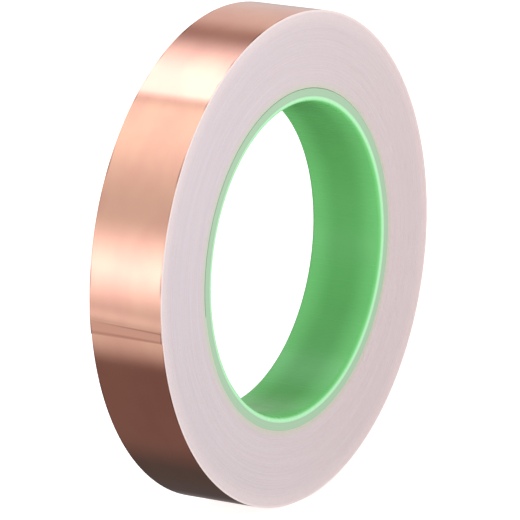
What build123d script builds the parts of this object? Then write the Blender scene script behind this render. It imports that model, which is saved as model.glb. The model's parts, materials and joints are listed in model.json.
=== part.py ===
from build123d import *
import os
from math import cos, degrees, radians, sin

# Copper foil tape roll: a green plastic core with a continuous three-layer tape wound on it.
# Frame: the roll's axis is Y, the origin is the centre of the core's bore, and +Z is up.
# Angles are measured about the axis from +X towards +Z. The tape is wound towards larger angles.

# Driving dimensions, in millimetres and degrees
tape_width = 20.0
foil_thickness = 0.035
adhesive_thickness = 0.04
liner_thickness = 0.105
turn_count = 104
layered_turns = 2  # outermost turns whose layers are separate solids

bore_radius = 38.1
core_wall = 3.3
core_edge_round = 1.0

starter_length = 15.0
starter_thickness = 0.05

tape_end_angle = 188.0
tab_length = 3.05  # from the crease to the cut end, halfway across the tape
crease_skew = 2.7  # the tab is longer on the +Y side
tail_segments = 5
tail_segment_arc = 7.0
tail_clearance = 0.02  # the loose tail lies this much clear of the turn below

# Worked out from them
pitch = foil_thickness + adhesive_thickness + liner_thickness
core_radius = bore_radius + core_wall
roll_radius = core_radius + (turn_count + 1) * pitch  # the cut end lies on a full turn, so one more pitch
tab_arc = degrees(tab_length / roll_radius)
tail_start_angle = tape_end_angle + 360 - tab_arc - tail_segments * tail_segment_arc
crease_angle = tape_end_angle + 360 - tab_arc
layers = {
    "foil": (0, foil_thickness),
    "adhesive": (foil_thickness, foil_thickness + adhesive_thickness),
    "liner": (foil_thickness + adhesive_thickness, pitch),
}
side_plane = Plane.XZ.offset(-tape_width / 2)


def polar(radius, angle):
    """A point of the side plane at this radius and angle."""
    return Vector(radius * cos(radians(angle)), radius * sin(radians(angle)))


# The winding is a spiral of half turns about two centres, a quarter of a pitch either side of the axis.
# The first half turn after the tape's end is about low_centre, and the half turn before it about high_centre.
low_centre = polar(-pitch / 4, tape_end_angle)
high_centre = polar(pitch / 4, tape_end_angle)


def low_radius(depth):
    """Radius of the half turns about low_centre, at a depth below the outermost turn's surface."""
    return roll_radius - 0.75 * pitch - depth


def high_radius(depth):
    """Radius of the half turns about high_centre, at a depth below the outermost turn's surface."""
    return roll_radius - 0.25 * pitch - depth


def across_tape(face):
    """A flat outline made as deep as the tape is wide."""
    return extrude(side_plane * face, tape_width)


def winding_edge(depth, first_turn, last_angle):
    """Arcs of one face of the tape, from the start of first_turn to last_angle in the outermost turn."""
    arcs = []
    for turn in range(first_turn, -1, -1):
        sweep = 180 if turn else last_angle - tape_end_angle - 180
        under = depth + turn * pitch
        arcs.append(CenterArc(low_centre, low_radius(under), tape_end_angle, 180))
        arcs.append(CenterArc(high_centre, high_radius(under), tape_end_angle + 180, sweep))
    return arcs


def band(centre, inner, outer, start, sweep):
    """Flat outline between two radii over an angle."""
    inside = CenterArc(centre, inner, start, sweep)
    outside = CenterArc(centre, outer, start, sweep)
    ends = [Line(inside @ 0, outside @ 0), Line(inside @ 1, outside @ 1)]
    return make_face([inside, outside, *ends])


def core_tube():
    """Plastic tube with its bore edges rounded."""
    tube = across_tape(Circle(core_radius) - Circle(bore_radius))
    bore_edges = tube.faces().filter_by(GeomType.CYLINDER).sort_by(lambda face: face.radius)[0].edges()
    return fillet(bore_edges.filter_by(GeomType.CIRCLE), core_edge_round)


def starter_tape():
    """Strip of double-sided tape that holds the inner end to the core, at the same angle as the outer end."""
    arc = degrees(starter_length / core_radius)
    outside = core_radius + starter_thickness
    return across_tape(band(Vector(0, 0), core_radius, outside, tape_end_angle, arc))


def inner_turns():
    """The turns under the layered ones, pressed together into one laminated ring."""
    depth = layered_turns * pitch
    low_side = CenterArc(low_centre, low_radius(depth), tape_end_angle, 180)
    high_side = CenterArc(high_centre, high_radius(depth), tape_end_angle + 180, 180)
    outline = make_face([low_side, high_side, Line(low_side @ 0, high_side @ 1)])
    return across_tape(outline - Circle(core_radius)) - starter_tape()


def outer_layer(top, bottom):
    """One layer of the layered turns, as far as the loose tail."""
    first_turn = layered_turns - 1
    outside = winding_edge(top, first_turn, tail_start_angle)
    inside = winding_edge(bottom, first_turn, tail_start_angle)
    ends = [Line(inside[0] @ 0, outside[0] @ 0), Line(inside[-1] @ 1, outside[-1] @ 1)]
    return across_tape(make_face([*outside, *inside, *ends]))


def tail_layer(top, bottom, start, end):
    """One layer of the loose tail, between two angles."""
    outer = high_radius(top) + tail_clearance
    inner = high_radius(bottom) + tail_clearance
    return across_tape(band(high_centre, inner, outer, start, end - start))


def crease_plane():
    """Plane through the crease and square to the tape, with its normal towards the cut end."""
    radial = polar(1, crease_angle)
    square = Plane(
        origin=side_plane.from_local_coords(high_centre + radial * high_radius(0))
        + Vector(0, -tape_width / 2, 0),
        x_dir=(radial.X, 0, radial.Y),
        z_dir=(-radial.Y, 0, radial.X),
    )
    return square.rotated((crease_skew, 0, 0))


def end_layer(top, bottom):
    """One layer of the last tail segment and of the tab, cut apart at the crease."""
    start = crease_angle - tail_segment_arc
    whole = tail_layer(top, bottom, start, tape_end_angle + 360)
    crease = crease_plane()
    return split(whole, bisect_by=crease, keep=Keep.BOTTOM), split(whole, bisect_by=crease, keep=Keep.TOP)


def tape_parts():
    """Every solid of the tape's three layers, by name."""
    parts = {}
    for name, (top, bottom) in layers.items():
        parts[f"outer_turns_{name}"] = outer_layer(top, bottom)
        for number in range(1, tail_segments):
            start = tail_start_angle + (number - 1) * tail_segment_arc
            parts[f"tail_{number}_{name}"] = tail_layer(top, bottom, start, start + tail_segment_arc)
        last_segment, tab = end_layer(top, bottom)
        parts[f"tail_{tail_segments}_{name}"] = last_segment
        parts[f"end_tab_{name}"] = tab
    return parts


def roll_parts():
    """Every solid of the roll, by name."""
    return {
        "core_tube": core_tube(),
        "starter_tape": starter_tape(),
        "inner_turns": inner_turns(),
        **tape_parts(),
    }


os.makedirs("parts", exist_ok=True)
for name, shape in roll_parts().items():
    shape.label = name
    export_step(shape, f"parts/{name}.step")
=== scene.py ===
import json
from collections import namedtuple
from math import atan2, cos, degrees, pi, radians, sin

import bpy
import numpy as np
from mathutils import Matrix, Vector

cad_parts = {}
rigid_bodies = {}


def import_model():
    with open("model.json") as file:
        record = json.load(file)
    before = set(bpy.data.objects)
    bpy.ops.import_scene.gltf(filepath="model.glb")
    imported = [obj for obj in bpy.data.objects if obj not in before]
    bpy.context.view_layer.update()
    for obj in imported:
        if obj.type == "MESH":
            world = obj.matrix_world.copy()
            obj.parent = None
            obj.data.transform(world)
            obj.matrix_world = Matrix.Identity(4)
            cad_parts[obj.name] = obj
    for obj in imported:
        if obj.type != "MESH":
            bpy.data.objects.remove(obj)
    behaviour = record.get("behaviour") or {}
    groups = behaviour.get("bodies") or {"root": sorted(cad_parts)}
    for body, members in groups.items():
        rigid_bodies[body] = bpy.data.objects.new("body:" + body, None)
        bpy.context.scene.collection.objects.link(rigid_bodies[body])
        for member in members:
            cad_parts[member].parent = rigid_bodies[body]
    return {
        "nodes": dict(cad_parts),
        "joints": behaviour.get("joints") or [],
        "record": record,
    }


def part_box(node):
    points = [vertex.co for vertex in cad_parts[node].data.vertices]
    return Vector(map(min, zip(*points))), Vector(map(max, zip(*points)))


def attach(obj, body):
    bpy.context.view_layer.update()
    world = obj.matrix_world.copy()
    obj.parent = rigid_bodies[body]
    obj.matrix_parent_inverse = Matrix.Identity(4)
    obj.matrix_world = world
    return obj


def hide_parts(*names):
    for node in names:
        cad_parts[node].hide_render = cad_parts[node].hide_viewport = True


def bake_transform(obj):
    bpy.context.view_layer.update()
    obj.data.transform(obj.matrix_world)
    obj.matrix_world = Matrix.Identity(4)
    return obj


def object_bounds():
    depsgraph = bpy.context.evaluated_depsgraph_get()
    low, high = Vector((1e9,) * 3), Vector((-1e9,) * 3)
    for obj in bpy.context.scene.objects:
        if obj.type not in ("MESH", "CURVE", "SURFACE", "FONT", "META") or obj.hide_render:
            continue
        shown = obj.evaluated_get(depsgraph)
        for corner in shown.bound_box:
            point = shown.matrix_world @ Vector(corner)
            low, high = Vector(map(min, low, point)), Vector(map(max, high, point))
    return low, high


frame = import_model()
cad_low, cad_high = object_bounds()

MM = 0.001
rng = np.random.default_rng(36)

joints = {joint["name"]: joint for joint in frame["joints"]}
mounts = {mount["name"]: mount for mount in frame["record"]["mounts"]}

# The core, whose sizes the frame gives
core_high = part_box("core_tube")[1]
half_width = core_high.y
core_radius = core_high.x
bore_dims = mounts["core_bore"]["dims"]
bore_radius = bore_dims["r_mm"] * MM
bore_edge_round = half_width - bore_dims["length_mm"] * MM / 2
turning_mark = 0.012 * MM  # the deepest that a ring is cut into the core's ends

# Driving sizes of the tape, in metres, degrees and turns
layer_depths = {
    "foil": (0.0, 0.035 * MM),
    "adhesive": (0.035 * MM, 0.075 * MM),
    "liner": (0.075 * MM, 0.180 * MM),
}
pitch = layer_depths["liner"][1]
turn_count = 104
outer_turns = 2  # turns that get the fine mesh
tape_end_angle = 188.0
wound_end = 360.0 * turn_count
roll_radius = core_radius + (turn_count + 1) * pitch
edge_gap = 0.01 * MM  # the tape's edges lie at least this far inside the core's ends
edge_wander = 0.035 * MM  # the most that they wander to either side
layer_inset = {"foil": 0.012 * MM, "adhesive": 0.022 * MM, "liner": 0.0}  # from the liner's edges
ripple_count = 9
ripple_height = 0.0016 * MM
ripple_seat = 0.01 * MM  # the fine turns lie this much lower, so that their waves stay inside the CAD surface

# Mesh of the core
core_step = 1.0  # degrees between its profiles
bore_points = 17
round_points = 9
end_points = 25
outside_points = 5

# Mesh of the tape
coarse_step = 2.5  # degrees between the rows of the inner turns
fine_step = 0.5  # degrees between the rows of the outer turns
fine_column_gaps = 22  # gaps between the columns of the outer turns

# The loose end
tail_hinges = [joint for joint in frame["joints"] if joint["name"].startswith("tail_")]
segment_arc = 7.0
crease = joints["tab_lift"]
loose_gap = 0.02 * MM  # height of the loose end over the turn below
ridge_height = 0.13 * MM  # climb to the crease, before the tab's first drop is taken off
ridge_climb = 4.5  # degrees over which the tape climbs to the ridge
corner_lift = 0.05 * MM  # how much higher the near corner of the cut end stands
peel_start = 0.4 * MM  # the foil and its adhesive are divided this far past the crease, where the peel starts
rows_to_crease = 17
rows_over_crease = 5
rows_to_end = 28


# ---------------------------------------------------------------- shape of the wound tape


def wound_at(point):
    """Degrees of winding, from the tape's inner end, at a point of the outermost turn."""
    angle = degrees(atan2(point[2], point[0])) % 360
    return wound_end + angle - tape_end_angle


def smooth(edge_low, edge_high, value):
    """0 before edge_low, 1 past edge_high, and a soft step between them."""
    t = np.clip((value - edge_low) / (edge_high - edge_low), 0, 1)
    return t * t * (3 - 2 * t)


def wound_radius(wound):
    """Outer radius of the tape: half turns about two centres, each a quarter of a pitch off the axis."""
    turn, part = np.divmod(wound, 360)
    swing = 0.25 * np.cos(np.radians(part))
    rise = np.where(part < 180, 0.25 - swing, 0.75 + swing)
    return core_radius + (turn + 1 + rise) * pitch


def knots(spacing, amplitude):
    """A smooth random curve over the winding, with a knot every so many turns."""
    count = int(turn_count / spacing) + 4
    values = rng.uniform(-amplitude, amplitude, count)

    def curve(wound):
        place = wound / 360 / spacing
        index = np.floor(place).astype(int)
        part = place - index
        part = part * part * (3 - 2 * part)
        return values[index] * (1 - part) + values[index + 1] * part

    return curve


slow_wander = knots(spacing=7.3, amplitude=0.6 * edge_wander)
quick_wander = knots(spacing=0.9, amplitude=0.4 * edge_wander)


def ripple_wave():
    """One wave of the foil: its count round the roll, its lean across the tape, its start and its height."""
    count = rng.integers(6, 34)
    lean = rng.uniform(0.02, 0.09)
    start = rng.uniform(0, 2 * pi)
    return count, lean, start, rng.uniform(0.4, 1.0) * ripple_height


ripple_waves = [ripple_wave() for _ in range(ripple_count)]


def ripple(angle, across):
    """Shallow waves of the foil: angle in radians, across from -1 to 1."""
    height = 0.0
    for count, lean, start, size in ripple_waves:
        height = height + size * np.sin(count * (angle + lean * across) + start)
    return height


tail_start = wound_at(tail_hinges[0]["pos_m"])
crease_wound = wound_at(crease["pos_m"])
crease_lead = -crease["axis"][2] / crease["axis"][1]  # step of the crease along the tape for one across it


def crease_at(across):
    """Winding at the crease, which slants across the tape."""
    return crease_wound + np.degrees(crease_lead * across * half_width / roll_radius)


def tail_rise(wound, across):
    """How far the loose end stands off the turn below: a ridge at the crease and a near corner that lifts."""
    crease_here = crease_at(across)
    climb = smooth(crease_here - ridge_climb, crease_here, wound) ** 2

    # The tab drops steeply at the crease, slopes on, and drops again to its cut end
    tab_share = (wound - crease_here) / (wound_end - crease_here)
    first_drop = 0.46 * smooth(-0.12, 0.18, tab_share)
    slope = 0.24 * np.clip(tab_share, 0, 1)
    last_drop = 0.3 * smooth(0.66, 1, tab_share)
    ridge = ridge_height * (climb - first_drop - slope - last_drop)

    corner = corner_lift * smooth(crease_here, wound_end, wound) * smooth(0.2, -1.0, across)
    gap = loose_gap * smooth(tail_start, tail_start + segment_arc, wound)
    return gap + ridge + corner


def tape_points(wound, across, depth, inset, fine):
    """Points of one face of the tape, at a depth below its outer face."""
    wound, across = np.broadcast_arrays(wound, across)
    angle = np.radians(tape_end_angle + wound % 360)
    radius = wound_radius(wound) - depth
    if fine:
        radius = radius - ripple_seat + ripple(angle, across) + tail_rise(wound, across)
    y = across * (half_width - edge_gap - edge_wander - inset) + slow_wander(wound) + quick_wander(wound)
    return np.stack([radius * np.cos(angle), y, radius * np.sin(angle)], -1)


def strip_faces(rows, columns):
    """Quads of a closed strip whose outer points come first, row by row, and then its inner points."""
    outer = np.arange(rows * columns).reshape(rows, columns)
    inner = outer + rows * columns

    def sheet(grid):
        return np.stack([grid[:-1, :-1], grid[:-1, 1:], grid[1:, 1:], grid[1:, :-1]], -1).reshape(-1, 4)

    def wall(top, bottom):
        return np.stack([top[:-1], top[1:], bottom[1:], bottom[:-1]], -1).reshape(-1, 4)

    return np.concatenate([
        sheet(outer),
        sheet(inner)[:, ::-1],
        wall(outer[:, 0], inner[:, 0]),
        wall(inner[:, -1], outer[:, -1]),
        wall(inner[0], outer[0]),
        wall(outer[-1], inner[-1]),
    ])


def mesh_object(name, points, faces, material):
    """A new piece, shaded smooth except at sharp edges."""
    mesh = bpy.data.meshes.new(name)
    mesh.from_pydata(points.reshape(-1, 3).tolist(), [], faces.tolist())
    mesh.polygons.foreach_set("use_smooth", np.ones(len(faces), bool))
    mesh.set_sharp_from_angle(angle=radians(35))
    mesh.materials.append(material)
    piece = bpy.data.objects.new(name, mesh)
    bpy.context.scene.collection.objects.link(piece)
    return piece


def tape_strip(name, layer, wound, across, fine=True):
    """One layer of a length of tape: a row of points for each winding, a column for each place across."""
    top, bottom = layer_depths[layer]
    wound = np.broadcast_to(wound, (len(wound), len(across)))
    faces = [tape_points(wound, across, depth, layer_inset[layer], fine) for depth in (top, bottom)]
    piece = mesh_object(name, np.concatenate(faces), strip_faces(*wound.shape), materials[layer])
    place = np.stack([
        np.radians(wound) * wound_radius(wound) / MM,
        np.broadcast_to(across * half_width / MM, wound.shape),
        wound / 360,
    ], -1)
    attribute = piece.data.attributes.new("tape_place", "FLOAT_VECTOR", "POINT")
    attribute.data.foreach_set("vector", np.concatenate([place, place]).astype(np.float32).ravel())
    return piece


def row_angles(start, end, step):
    """A column of windings from start to end."""
    return np.linspace(start, end, max(2, round((end - start) / step) + 1))[:, None]


# ---------------------------------------------------------------- materials


class Nodes:
    """Short ways to add nodes to a node tree."""

    def __init__(self, tree):
        self.tree = tree

    def node(self, kind, inputs, output=0, **settings):
        """Adds a node, sets or links its inputs, and gives one of its outputs."""
        made = self.tree.nodes.new("ShaderNode" + kind)
        for key, value in settings.items():
            setattr(made, key, value)
        for socket, value in inputs.items():
            if isinstance(value, bpy.types.NodeSocket):
                self.tree.links.new(value, made.inputs[socket])
            else:
                made.inputs[socket].default_value = value
        return made.outputs[output]

    def math(self, operation, first, second=0.0):
        return self.node("Math", {0: first, 1: second}, operation=operation)

    def between(self, value, low, high, out_low=0.0, out_high=1.0):
        """Maps low..high to out_low..out_high, smoothly and clamped."""
        inputs = {"Value": value, "From Min": low, "From Max": high, "To Min": out_low, "To Max": out_high}
        return self.node("MapRange", inputs, interpolation_type="SMOOTHSTEP")

    def mix(self, factor, first, second):
        inputs = {0: factor, 6: first, 7: second}
        return self.node("Mix", inputs, output=2, data_type="RGBA")

    def noise(self, vector, scale, detail=3.0, roughness=0.55):
        inputs = {"Vector": vector, "Scale": scale, "Detail": detail, "Roughness": roughness}
        return self.node("TexNoise", inputs)

    def stretch(self, vector, x, y, z):
        return self.node("VectorMath", {0: vector, 1: (x, y, z)}, operation="MULTIPLY")

    def split(self, vector):
        made = self.tree.nodes.new("ShaderNodeSeparateXYZ")
        self.tree.links.new(vector, made.inputs[0])
        return made.outputs[0], made.outputs[1], made.outputs[2]

    def scale(self, vector, factor):
        return self.node("VectorMath", {0: vector, 3: factor}, operation="SCALE")


class Shader(Nodes):
    """A Principled material with the nodes that feed it."""

    def __init__(self, name, **constants):
        self.material = bpy.data.materials.new(name)
        self.material.use_nodes = True
        super().__init__(self.material.node_tree)
        self.surface = self.tree.nodes["Principled BSDF"]
        for socket, value in constants.items():
            self.surface.inputs[socket.replace("_", " ")].default_value = value

    def feed(self, socket, value):
        self.tree.links.new(value, self.surface.inputs[socket])

    def object_place(self):
        return self.node("TexCoord", {}, output="Object")

    def facing_side(self):
        """1 on faces that look along the roll's axis, 0 on faces that look outwards or inwards."""
        normal = self.node("TexCoord", {}, output="Normal")
        return self.between(self.math("ABSOLUTE", self.split(normal)[1]), 0.6, 0.8)

    def tape_place(self):
        """Millimetres along the tape, millimetres across it, and the turn."""
        return self.node("Attribute", {}, output="Vector", attribute_name="tape_place")

    def bump(self, height, strength, distance):
        inputs = {"Height": height, "Strength": strength, "Distance": distance}
        self.feed("Normal", self.node("Bump", inputs))


def copper_foil():
    """Bright rolled copper: lines along it, two tints in patches, painted shade on the tab and on stretches
    of edge, and dull slit sides with a painted highlight on the outermost turns.
    """
    shader = Shader("copper_foil")
    place = shader.tape_place()
    over, turn = shader.split(place)[1:]
    patches = shader.noise(shader.stretch(place, 0.05, 0.09, 0.0), 1.0, 2.0)
    tint = shader.mix(shader.between(patches, 0.35, 0.65), (0.90, 0.49, 0.37, 1), (0.94, 0.54, 0.395, 1))

    # Painted shade: the tab past the crease is coloured a little darker, standing in for the darker
    # surroundings it mirrors
    tab = shader.between(turn, crease_wound / 360 - 0.0004, crease_wound / 360 + 0.0004)
    tint = shader.mix(tab, tint, (0.84, 0.445, 0.335, 1))

    # Painted shade: stretches of both edges are coloured dark, standing in for the dark line along the foil's
    # edges
    from_edge = shader.math("SUBTRACT", half_width / MM, shader.math("ABSOLUTE", over))
    stretches = shader.between(shader.noise(shader.stretch(place, 0.06, 0.0, 0.0), 1.0, 2.0), 0.45, 0.62)
    painted_edge_shade = shader.math("MULTIPLY", shader.between(from_edge, 0.55, 0.15), stretches)
    tint = shader.mix(painted_edge_shade, tint, (0.45, 0.24, 0.185, 1))

    # The slit sides, with a painted highlight: they are coloured lighter on the outermost turns, for the
    # light caught along the roll's outer edge
    edge = shader.facing_side()
    streaks = shader.noise(shader.object_place(), 900.0, 2.0)
    slit = shader.mix(streaks, (0.74, 0.42, 0.33, 1), (0.92, 0.68, 0.60, 1))
    slit = shader.mix(shader.between(turn, turn_count - 5.0, turn_count - 1.5), slit, (0.95, 0.76, 0.70, 1))
    shader.feed("Base Color", shader.mix(edge, tint, slit))

    lines = shader.noise(shader.stretch(place, 0.02, 7.0, 0.0), 1.0, 4.0, 0.65)
    shader.feed("Metallic", shader.math("SUBTRACT", 1.0, shader.math("MULTIPLY", edge, 0.7)))
    polish = shader.between(lines, 0.3, 0.75, 0.075, 0.13)
    shader.feed("Roughness", shader.math("ADD", polish, shader.math("MULTIPLY", edge, 0.35)))
    shader.bump(lines, 0.12, 0.004 * MM)
    return shader.material


def side_streaks(shader, turn):
    """Fine rings that fade in and out round the roll, from turn to turn."""
    x, y, z = shader.split(shader.object_place())
    where = shader.node("CombineXYZ", {
        0: shader.math("MULTIPLY", x, 22.0),
        1: shader.math("MULTIPLY", turn, 0.8),
        2: shader.math("MULTIPLY", z, 22.0),
    })
    return shader.noise(where, 1.0, 4.0, 0.6)


def paper_or_glue(name, dark, light, inner, outer, rim_highlight, roughness):
    """The liner or the adhesive, streaked turn by turn, greener near the core, lighter towards the outside,
    and with a painted highlight on its last turns.
    """
    shader = Shader(name, Specular_IOR_Level=0.35)
    turn = shader.split(shader.tape_place())[2]
    streaks = shader.between(side_streaks(shader, turn), 0.3, 0.7)
    fibres = shader.noise(shader.object_place(), 2600.0, 3.0, 0.7)
    colour = shader.mix(streaks, dark, light)
    colour = shader.mix(shader.between(turn, 11.0, 1.0), colour, inner)
    colour = shader.mix(shader.between(turn, turn_count - 24.0, turn_count - 6.0), colour, outer)
    # Painted highlight: the last few turns are coloured lighter, for the light caught along the roll's outer
    # edge
    colour = shader.mix(shader.between(turn, turn_count - 4.0, turn_count - 1.5), colour, rim_highlight)
    speckle = shader.between(fibres, 0.35, 0.65, 0.94, 1.0)
    shader.feed("Base Color", shader.scale(colour, speckle))
    shader.feed("Roughness", shader.between(fibres, 0.3, 0.7, roughness - 0.08, roughness + 0.08))
    shader.bump(fibres, 0.25, 0.01 * MM)
    return shader.material


def core_plastic():
    """Extruded green plastic: a glossy bore with faint lines along it, painted lighter towards its ends, a
    painted highlight on its round edges, and sawn ends.
    """
    shader = Shader("core_plastic", IOR=1.5, Specular_IOR_Level=0.3)
    place = shader.object_place()
    x, y, z = shader.split(place)
    from_middle = shader.math("ABSOLUTE", y)
    squares = shader.math("ADD", shader.math("MULTIPLY", x, x), shader.math("MULTIPLY", z, z))
    radius = shader.math("POWER", squares, 0.5)

    # The bore is cloudy. Painted light: its green is coloured lighter towards both ends and deepest halfway
    # through, standing in for light falling in at its openings
    clouds = shader.between(shader.noise(place, 45.0, 3.0), 0.3, 0.7)
    painted_lit_green = shader.mix(clouds, (0.18, 0.62, 0.195, 1), (0.20, 0.67, 0.215, 1))
    painted_shaded_green = shader.mix(clouds, (0.115, 0.44, 0.12, 1), (0.13, 0.49, 0.135, 1))
    painted_end_light = shader.between(from_middle, 0.2 * half_width, 0.95 * half_width)
    green = shader.mix(painted_end_light, painted_shaded_green, painted_lit_green)

    # Painted highlight: its round edges are coloured pale mint, for the light they catch
    over_round = shader.math("DIVIDE", shader.math("SUBTRACT", radius, bore_radius), bore_edge_round)
    colour = shader.mix(shader.between(over_round, 0.15, 0.7), green, (0.46, 0.88, 0.51, 1))

    # The sawn ends are pale, with rings
    from_axis = shader.node("CombineXYZ", {0: shader.math("MULTIPLY", radius, 5200.0)})
    rings = shader.noise(from_axis, 1.0, 3.0, 0.7)
    sawn = shader.mix(shader.between(rings, 0.3, 0.7), (0.34, 0.54, 0.35, 1), (0.44, 0.61, 0.44, 1))
    past_round = shader.between(over_round, 1.1, 1.5)
    near_end = shader.between(from_middle, half_width - 0.3 * MM, half_width - 0.1 * MM)
    at_end = shader.math("MULTIPLY", past_round, near_end)
    shader.feed("Base Color", shader.mix(at_end, colour, sawn))

    lines = shader.noise(shader.stretch(place, 700.0, 6.0, 700.0), 1.0, 3.0)
    gloss = shader.between(lines, 0.3, 0.7, 0.2, 0.3)
    shader.feed("Roughness", shader.math("ADD", gloss, shader.math("MULTIPLY", at_end, 0.35)))
    end_marks = shader.math("MULTIPLY", rings, at_end)
    shader.bump(shader.math("ADD", shader.math("MULTIPLY", lines, 0.2), end_marks), 0.3, 0.01 * MM)
    return shader.material


def starter_film():
    """Cloudy double-sided film between the core and the first turn."""
    shader = Shader("starter_film", Roughness=0.5)
    clouds = shader.noise(shader.object_place(), 1200.0, 3.0)
    shader.feed("Base Color", shader.mix(clouds, (0.74, 0.72, 0.60, 1), (0.86, 0.84, 0.76, 1)))
    return shader.material


materials = {
    "foil": copper_foil(),
    "adhesive": paper_or_glue(
        "tacky_adhesive",
        dark=(0.54, 0.465, 0.485, 1),
        light=(0.61, 0.535, 0.555, 1),
        inner=(0.58, 0.60, 0.51, 1),
        outer=(0.72, 0.615, 0.625, 1),
        rim_highlight=(0.88, 0.72, 0.70, 1),
        roughness=0.4,
    ),
    "liner": paper_or_glue(
        "liner_paper",
        dark=(0.70, 0.64, 0.685, 1),
        light=(0.76, 0.71, 0.755, 1),
        inner=(0.64, 0.68, 0.58, 1),
        outer=(0.80, 0.725, 0.755, 1),
        rim_highlight=(0.93, 0.82, 0.81, 1),
        roughness=0.6,
    ),
}


# ---------------------------------------------------------------- the core


def core():
    """Tube with rounded bore edges and turning marks on its ends."""
    flat = half_width - bore_edge_round
    bore = [(bore_radius, y) for y in np.linspace(-flat, flat, bore_points)]
    round_far = [
        (bore_radius + bore_edge_round * (1 - cos(bend)), flat + bore_edge_round * sin(bend))
        for bend in np.radians(np.linspace(90 / round_points, 90, round_points))
    ]
    end_radii = np.linspace(bore_radius + bore_edge_round, core_radius, end_points)
    end_far = [(r, half_width) for r in end_radii[1:]]
    outside = [(core_radius, y) for y in np.linspace(half_width, -half_width, outside_points)[1:-1]]
    end_near = [(r, -y) for r, y in reversed(end_far)]
    round_near = [(r, -y) for r, y in reversed(round_far)]
    profile = np.array(bore + round_far + end_far + outside + end_near + round_near)

    # The turning marks are the same on both ends, and leave the outer corners as they are
    marks = rng.uniform(0, turning_mark, len(end_far))
    for index, mark in enumerate(marks[:-1]):
        profile[len(bore) + len(round_far) + index, 1] -= mark
        profile[-len(round_near) - 1 - index, 1] += mark

    angles = np.radians(np.arange(0, 360, core_step))[:, None]
    radius, y = profile[None, :, 0], profile[None, :, 1]
    points = np.stack([radius * np.cos(angles), y + 0 * angles, radius * np.sin(angles)], -1)
    rows, columns = points.shape[:2]
    grid = np.arange(rows * columns).reshape(rows, columns)
    after = np.roll(grid, -1, 0)
    faces = np.stack([grid, after, np.roll(after, -1, 1), np.roll(grid, -1, 1)], -1).reshape(-1, 4)
    piece = mesh_object("core", points, faces, core_plastic())
    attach(piece, "roll")
    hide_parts("core_tube")


core()
starter = frame["nodes"]["starter_tape"]
starter.data.materials.clear()
starter.data.materials.append(starter_film())


# ---------------------------------------------------------------- the tape


def surface_point(wound):
    """A point of the tape's outer face, halfway across."""
    return Vector(tape_points(np.array([wound]), np.array([0.0]), 0, 0, True)[0])


def rows_between(starts, ends, count):
    """Rows from one line across the tape to another."""
    share = np.linspace(0, 1, count)[:, None]
    return starts + (ends - starts) * share


# Places of the mesh's columns across the tape, from -1 at the near edge to 1, closer together at the edges
edge_columns = np.array([-1.0, 1.0])
fine_columns = np.sin(np.linspace(-pi / 2, pi / 2, fine_column_gaps + 1))

outer_start = wound_end - 360.0 * outer_turns
first_loose = tail_start - segment_arc / 2  # each loose strip has its hinge halfway along it
last_loose = first_loose + segment_arc * len(tail_hinges)

for layer in layer_depths:
    inner_rows = row_angles(0, outer_start, coarse_step)
    inner = tape_strip(f"wound_{layer}", layer, inner_rows, edge_columns, fine=False)
    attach(inner, "roll")
    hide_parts("inner_turns")
    outer_rows = row_angles(outer_start, first_loose, fine_step)
    outer = tape_strip(f"outer_{layer}", layer, outer_rows, fine_columns)
    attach(outer, "roll")
    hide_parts(f"outer_turns_{layer}")

for number, hinge in enumerate(tail_hinges):
    start = first_loose + number * segment_arc
    rows = row_angles(start, start + segment_arc, fine_step / 2)
    bend_span = (surface_point(start), surface_point(start + segment_arc))
    for layer in layer_depths:
        piece = tape_strip(f"loose_{number + 1}_{layer}", layer, rows, fine_columns)
        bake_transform(piece)
        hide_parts(f"{hinge['child']}_{layer}")

# Windings at lines across the tape, and the rows of points between them
start_line = np.full_like(fine_columns, last_loose)
crease_line = crease_at(fine_columns)
peel_line = crease_line + degrees(peel_start / roll_radius)
end_line = np.full_like(fine_columns, wound_end)
to_crease = rows_between(start_line, crease_line, rows_to_crease)
over_crease = rows_between(crease_line, peel_line, rows_over_crease)[1:]
to_end = rows_between(peel_line, end_line, rows_to_end)
to_peel = np.concatenate([to_crease, over_crease])
whole_end = np.concatenate([to_peel, to_end[1:]])

# The crease, with forwards towards the tape's cut end, which is below it
crease_point = Vector(crease["pos_m"])
outwards = Vector((crease_point.x, 0, crease_point.z)).normalized()
forwards = Vector(crease["axis"]).cross(outwards).normalized()
if forwards.z > 0:
    forwards.negate()

# The foil and its adhesive peel off the liner, so they are divided where the peel starts
for layer in ("foil", "adhesive"):
    end_piece = tape_strip(f"loose_end_{layer}", layer, to_peel, fine_columns)
    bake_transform(end_piece)
    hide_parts(f"{crease['parent']}_{layer}")
    tab = tape_strip(f"peel_tab_{layer}", layer, to_end, fine_columns)
    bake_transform(tab)
    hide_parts(f"end_tab_{layer}")
liner_end = tape_strip("loose_end_liner", "liner", whole_end, fine_columns)
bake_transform(liner_end)
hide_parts(f"{crease['parent']}_liner", "end_tab_liner")


# ---------------------------------------------------------------- floor, light and camera


def studio_floor():
    """Pale floor, which shows only to the camera, so that it throws no light back at the copper."""
    reach = 6.0
    mesh = bpy.data.meshes.new("studio_floor")
    corners = [(-reach, -reach, 0), (reach, -reach, 0), (reach, reach, 0), (-reach, reach, 0)]
    mesh.from_pydata(corners, [], [(0, 1, 2, 3)])
    floor = bpy.data.objects.new("studio_floor", mesh)
    floor.location.z = cad_low.z
    bpy.context.scene.collection.objects.link(floor)
    shader = Shader("studio_floor", Base_Color=(0.9, 0.9, 0.9, 1), Roughness=0.9, Specular_IOR_Level=0.1,
                    Emission_Color=(1, 1, 1, 1), Emission_Strength=0.85)
    mesh.materials.append(shader.material)
    floor.visible_glossy = False
    floor.visible_diffuse = False
    floor.visible_transmission = False


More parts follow.
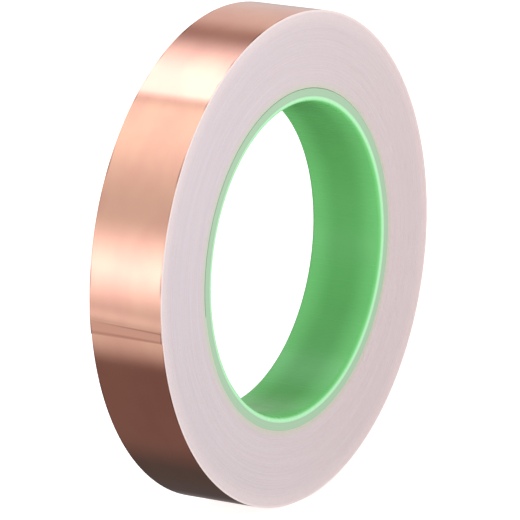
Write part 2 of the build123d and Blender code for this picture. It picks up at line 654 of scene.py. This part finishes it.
# The studio: dim light from all round, and soft-edged panels that run beside the roll and are mirrored in
# the foil. A panel's angles are degrees about the roll's axis, from +X towards +Z. Its end share is how much
# of its light is left past its two ends.
dim_light = (0.085, 0.083, 0.085)
Panel = namedtuple("Panel", "start end start_fade end_fade colour end_share")
panels = {
    "right_wall": Panel(-15, 45, 25, 12, (0.65, 0.6, 0.6), 1.0),
    "warm_corner": Panel(42, 60, 8, 8, (0.10, 0.03, 0.02), 1.0),
    "overhead_softbox": Panel(65, 96, 20, 3, (1.9, 1.9, 2.1), 0.45),
    "left_wall": Panel(97, 220, 2, 8, (0.6, 0.6, 0.6), 1.0),
    "upper_left_sheet": Panel(99, 132, 5, 18, (0.5, 0.5, 0.5), 0.5),
    "left_softbox": Panel(169, 191, 14, 12, (1.05, 1.05, 1.2), 0.5),
    "floor_bounce": Panel(215, 280, 8, 14, (0.105, 0.055, 0.05), 1.0),
}
first_angle = -45  # panel angles run once round from here
end_light = (0.7, 0.7, 0.7, 1)  # along the roll's axis, where the panels would meet
front_fill = (0.86, 0.86, 0.86, 1)  # more even light, for diffuse reflection, from the roll's near side
behind_fill = (0.64, 0.64, 0.64, 1)  # and from its far side
fill_lean = 0.45  # share by which the fill is stronger from straight below
white = (1, 1, 1, 1)

# Where these change over: how far a direction leans along the roll's axis, from -1, the near side, to 1
near_end_fade = (-0.25, 0.25)
far_end_fade = (0.68, 0.92)
end_light_fade = (0.94, 0.985)
fill_fade = (-0.3, 0.3)

# The camera has a long lens, and stands a little above the roll and well round to its left. Its distances are
# in outer radii of the roll, from the centre of the near side.
camera_azimuth = -57.68
camera_elevation = 13.2
camera_distance = 23.893
camera_left = 0.154
camera_down = 0.001
lens_length = 416  # millimetres, like the sensor's width
sensor_width = 36


def panel_light(nodes, angle, y, panel):
    """Light from one panel. It fades out over each of its edges, and to its end share past its ends."""
    rise = nodes.between(angle, panel.start - panel.start_fade, panel.start + panel.start_fade)
    fall = nodes.between(angle, panel.end - panel.end_fade, panel.end + panel.end_fade, 1.0, 0.0)
    near_end = nodes.between(y, *near_end_fade, panel.end_share, 1.0)
    far_end = nodes.between(y, *far_end_fade, 1.0, panel.end_share)
    across = nodes.math("MULTIPLY", rise, fall)
    along = nodes.math("MULTIPLY", near_end, far_end)
    return nodes.scale(panel.colour, nodes.math("MULTIPLY", across, along))


def studio_light():
    """The panels and the fill, made in the world's nodes, with a clear white background."""
    world = bpy.data.worlds.new("studio")
    bpy.context.scene.world = world
    world.use_nodes = True
    nodes = Nodes(world.node_tree)
    x, y, z = nodes.split(nodes.node("TexCoord", {}, output="Generated"))
    turned = nodes.math("SUBTRACT", nodes.math("ARCTAN2", z, x), radians(first_angle))
    share = nodes.math("FRACT", nodes.math("DIVIDE", turned, 2 * pi))
    angle = nodes.math("ADD", nodes.math("MULTIPLY", share, 360.0), first_angle)
    light = dim_light
    for panel in panels.values():
        light = nodes.node("VectorMath", {0: light, 1: panel_light(nodes, angle, y, panel)}, operation="ADD")
    light = nodes.mix(nodes.between(nodes.math("ABSOLUTE", y), *end_light_fade), light, end_light)
    fill = nodes.mix(nodes.between(y, *fill_fade), front_fill, behind_fill)
    fill = nodes.scale(fill, nodes.math("SUBTRACT", 1.0, nodes.math("MULTIPLY", z, fill_lean)))
    light = nodes.mix(nodes.node("LightPath", {}, output="Is Diffuse Ray"), light, fill)
    light = nodes.mix(nodes.node("LightPath", {}, output="Is Camera Ray"), light, white)
    nodes.tree.links.new(light, nodes.tree.nodes["Background"].inputs["Color"])


def softbox(name, place, size, brightness):
    """A square area light aimed at the roll, equally bright at any size. Nothing mirrors it."""
    light = bpy.data.lights.new(name, "AREA")
    light.shape = "SQUARE"
    light.size = size
    light.energy = pi * size * size * brightness
    lamp = bpy.data.objects.new(name, light)
    lamp.location = place
    lamp.rotation_mode = "QUATERNION"
    lamp.rotation_quaternion = Vector(place).to_track_quat("Z", "Y")
    lamp.visible_camera = False
    lamp.visible_glossy = False
    bpy.context.scene.collection.objects.link(lamp)


def camera():
    """Camera that faces the roll, a little to the left of the centre of its near side."""
    azimuth, elevation = radians(camera_azimuth), radians(camera_elevation)
    right = Vector((cos(azimuth), sin(azimuth), 0))
    back = Vector((sin(azimuth) * cos(elevation), -cos(azimuth) * cos(elevation), sin(elevation)))
    up = back.cross(right)
    near_centre = Vector((0, -half_width, 0))
    data = bpy.data.cameras.new("camera")
    data.lens = lens_length
    data.sensor_width = sensor_width
    data.clip_end = 50
    viewer = bpy.data.objects.new("camera", data)
    offset = back * camera_distance - right * camera_left - up * camera_down
    rotation = Matrix((right, up, back)).transposed().to_4x4()
    viewer.matrix_world = Matrix.Translation(near_centre + offset * roll_radius) @ rotation
    bpy.context.scene.collection.objects.link(viewer)
    bpy.context.scene.camera = viewer


studio_floor()
studio_light()
softbox("key_softbox", place=(-0.12, -0.28, 0.18), size=0.2, brightness=3.4)
camera()
bpy.context.scene.view_settings.view_transform = "Standard"
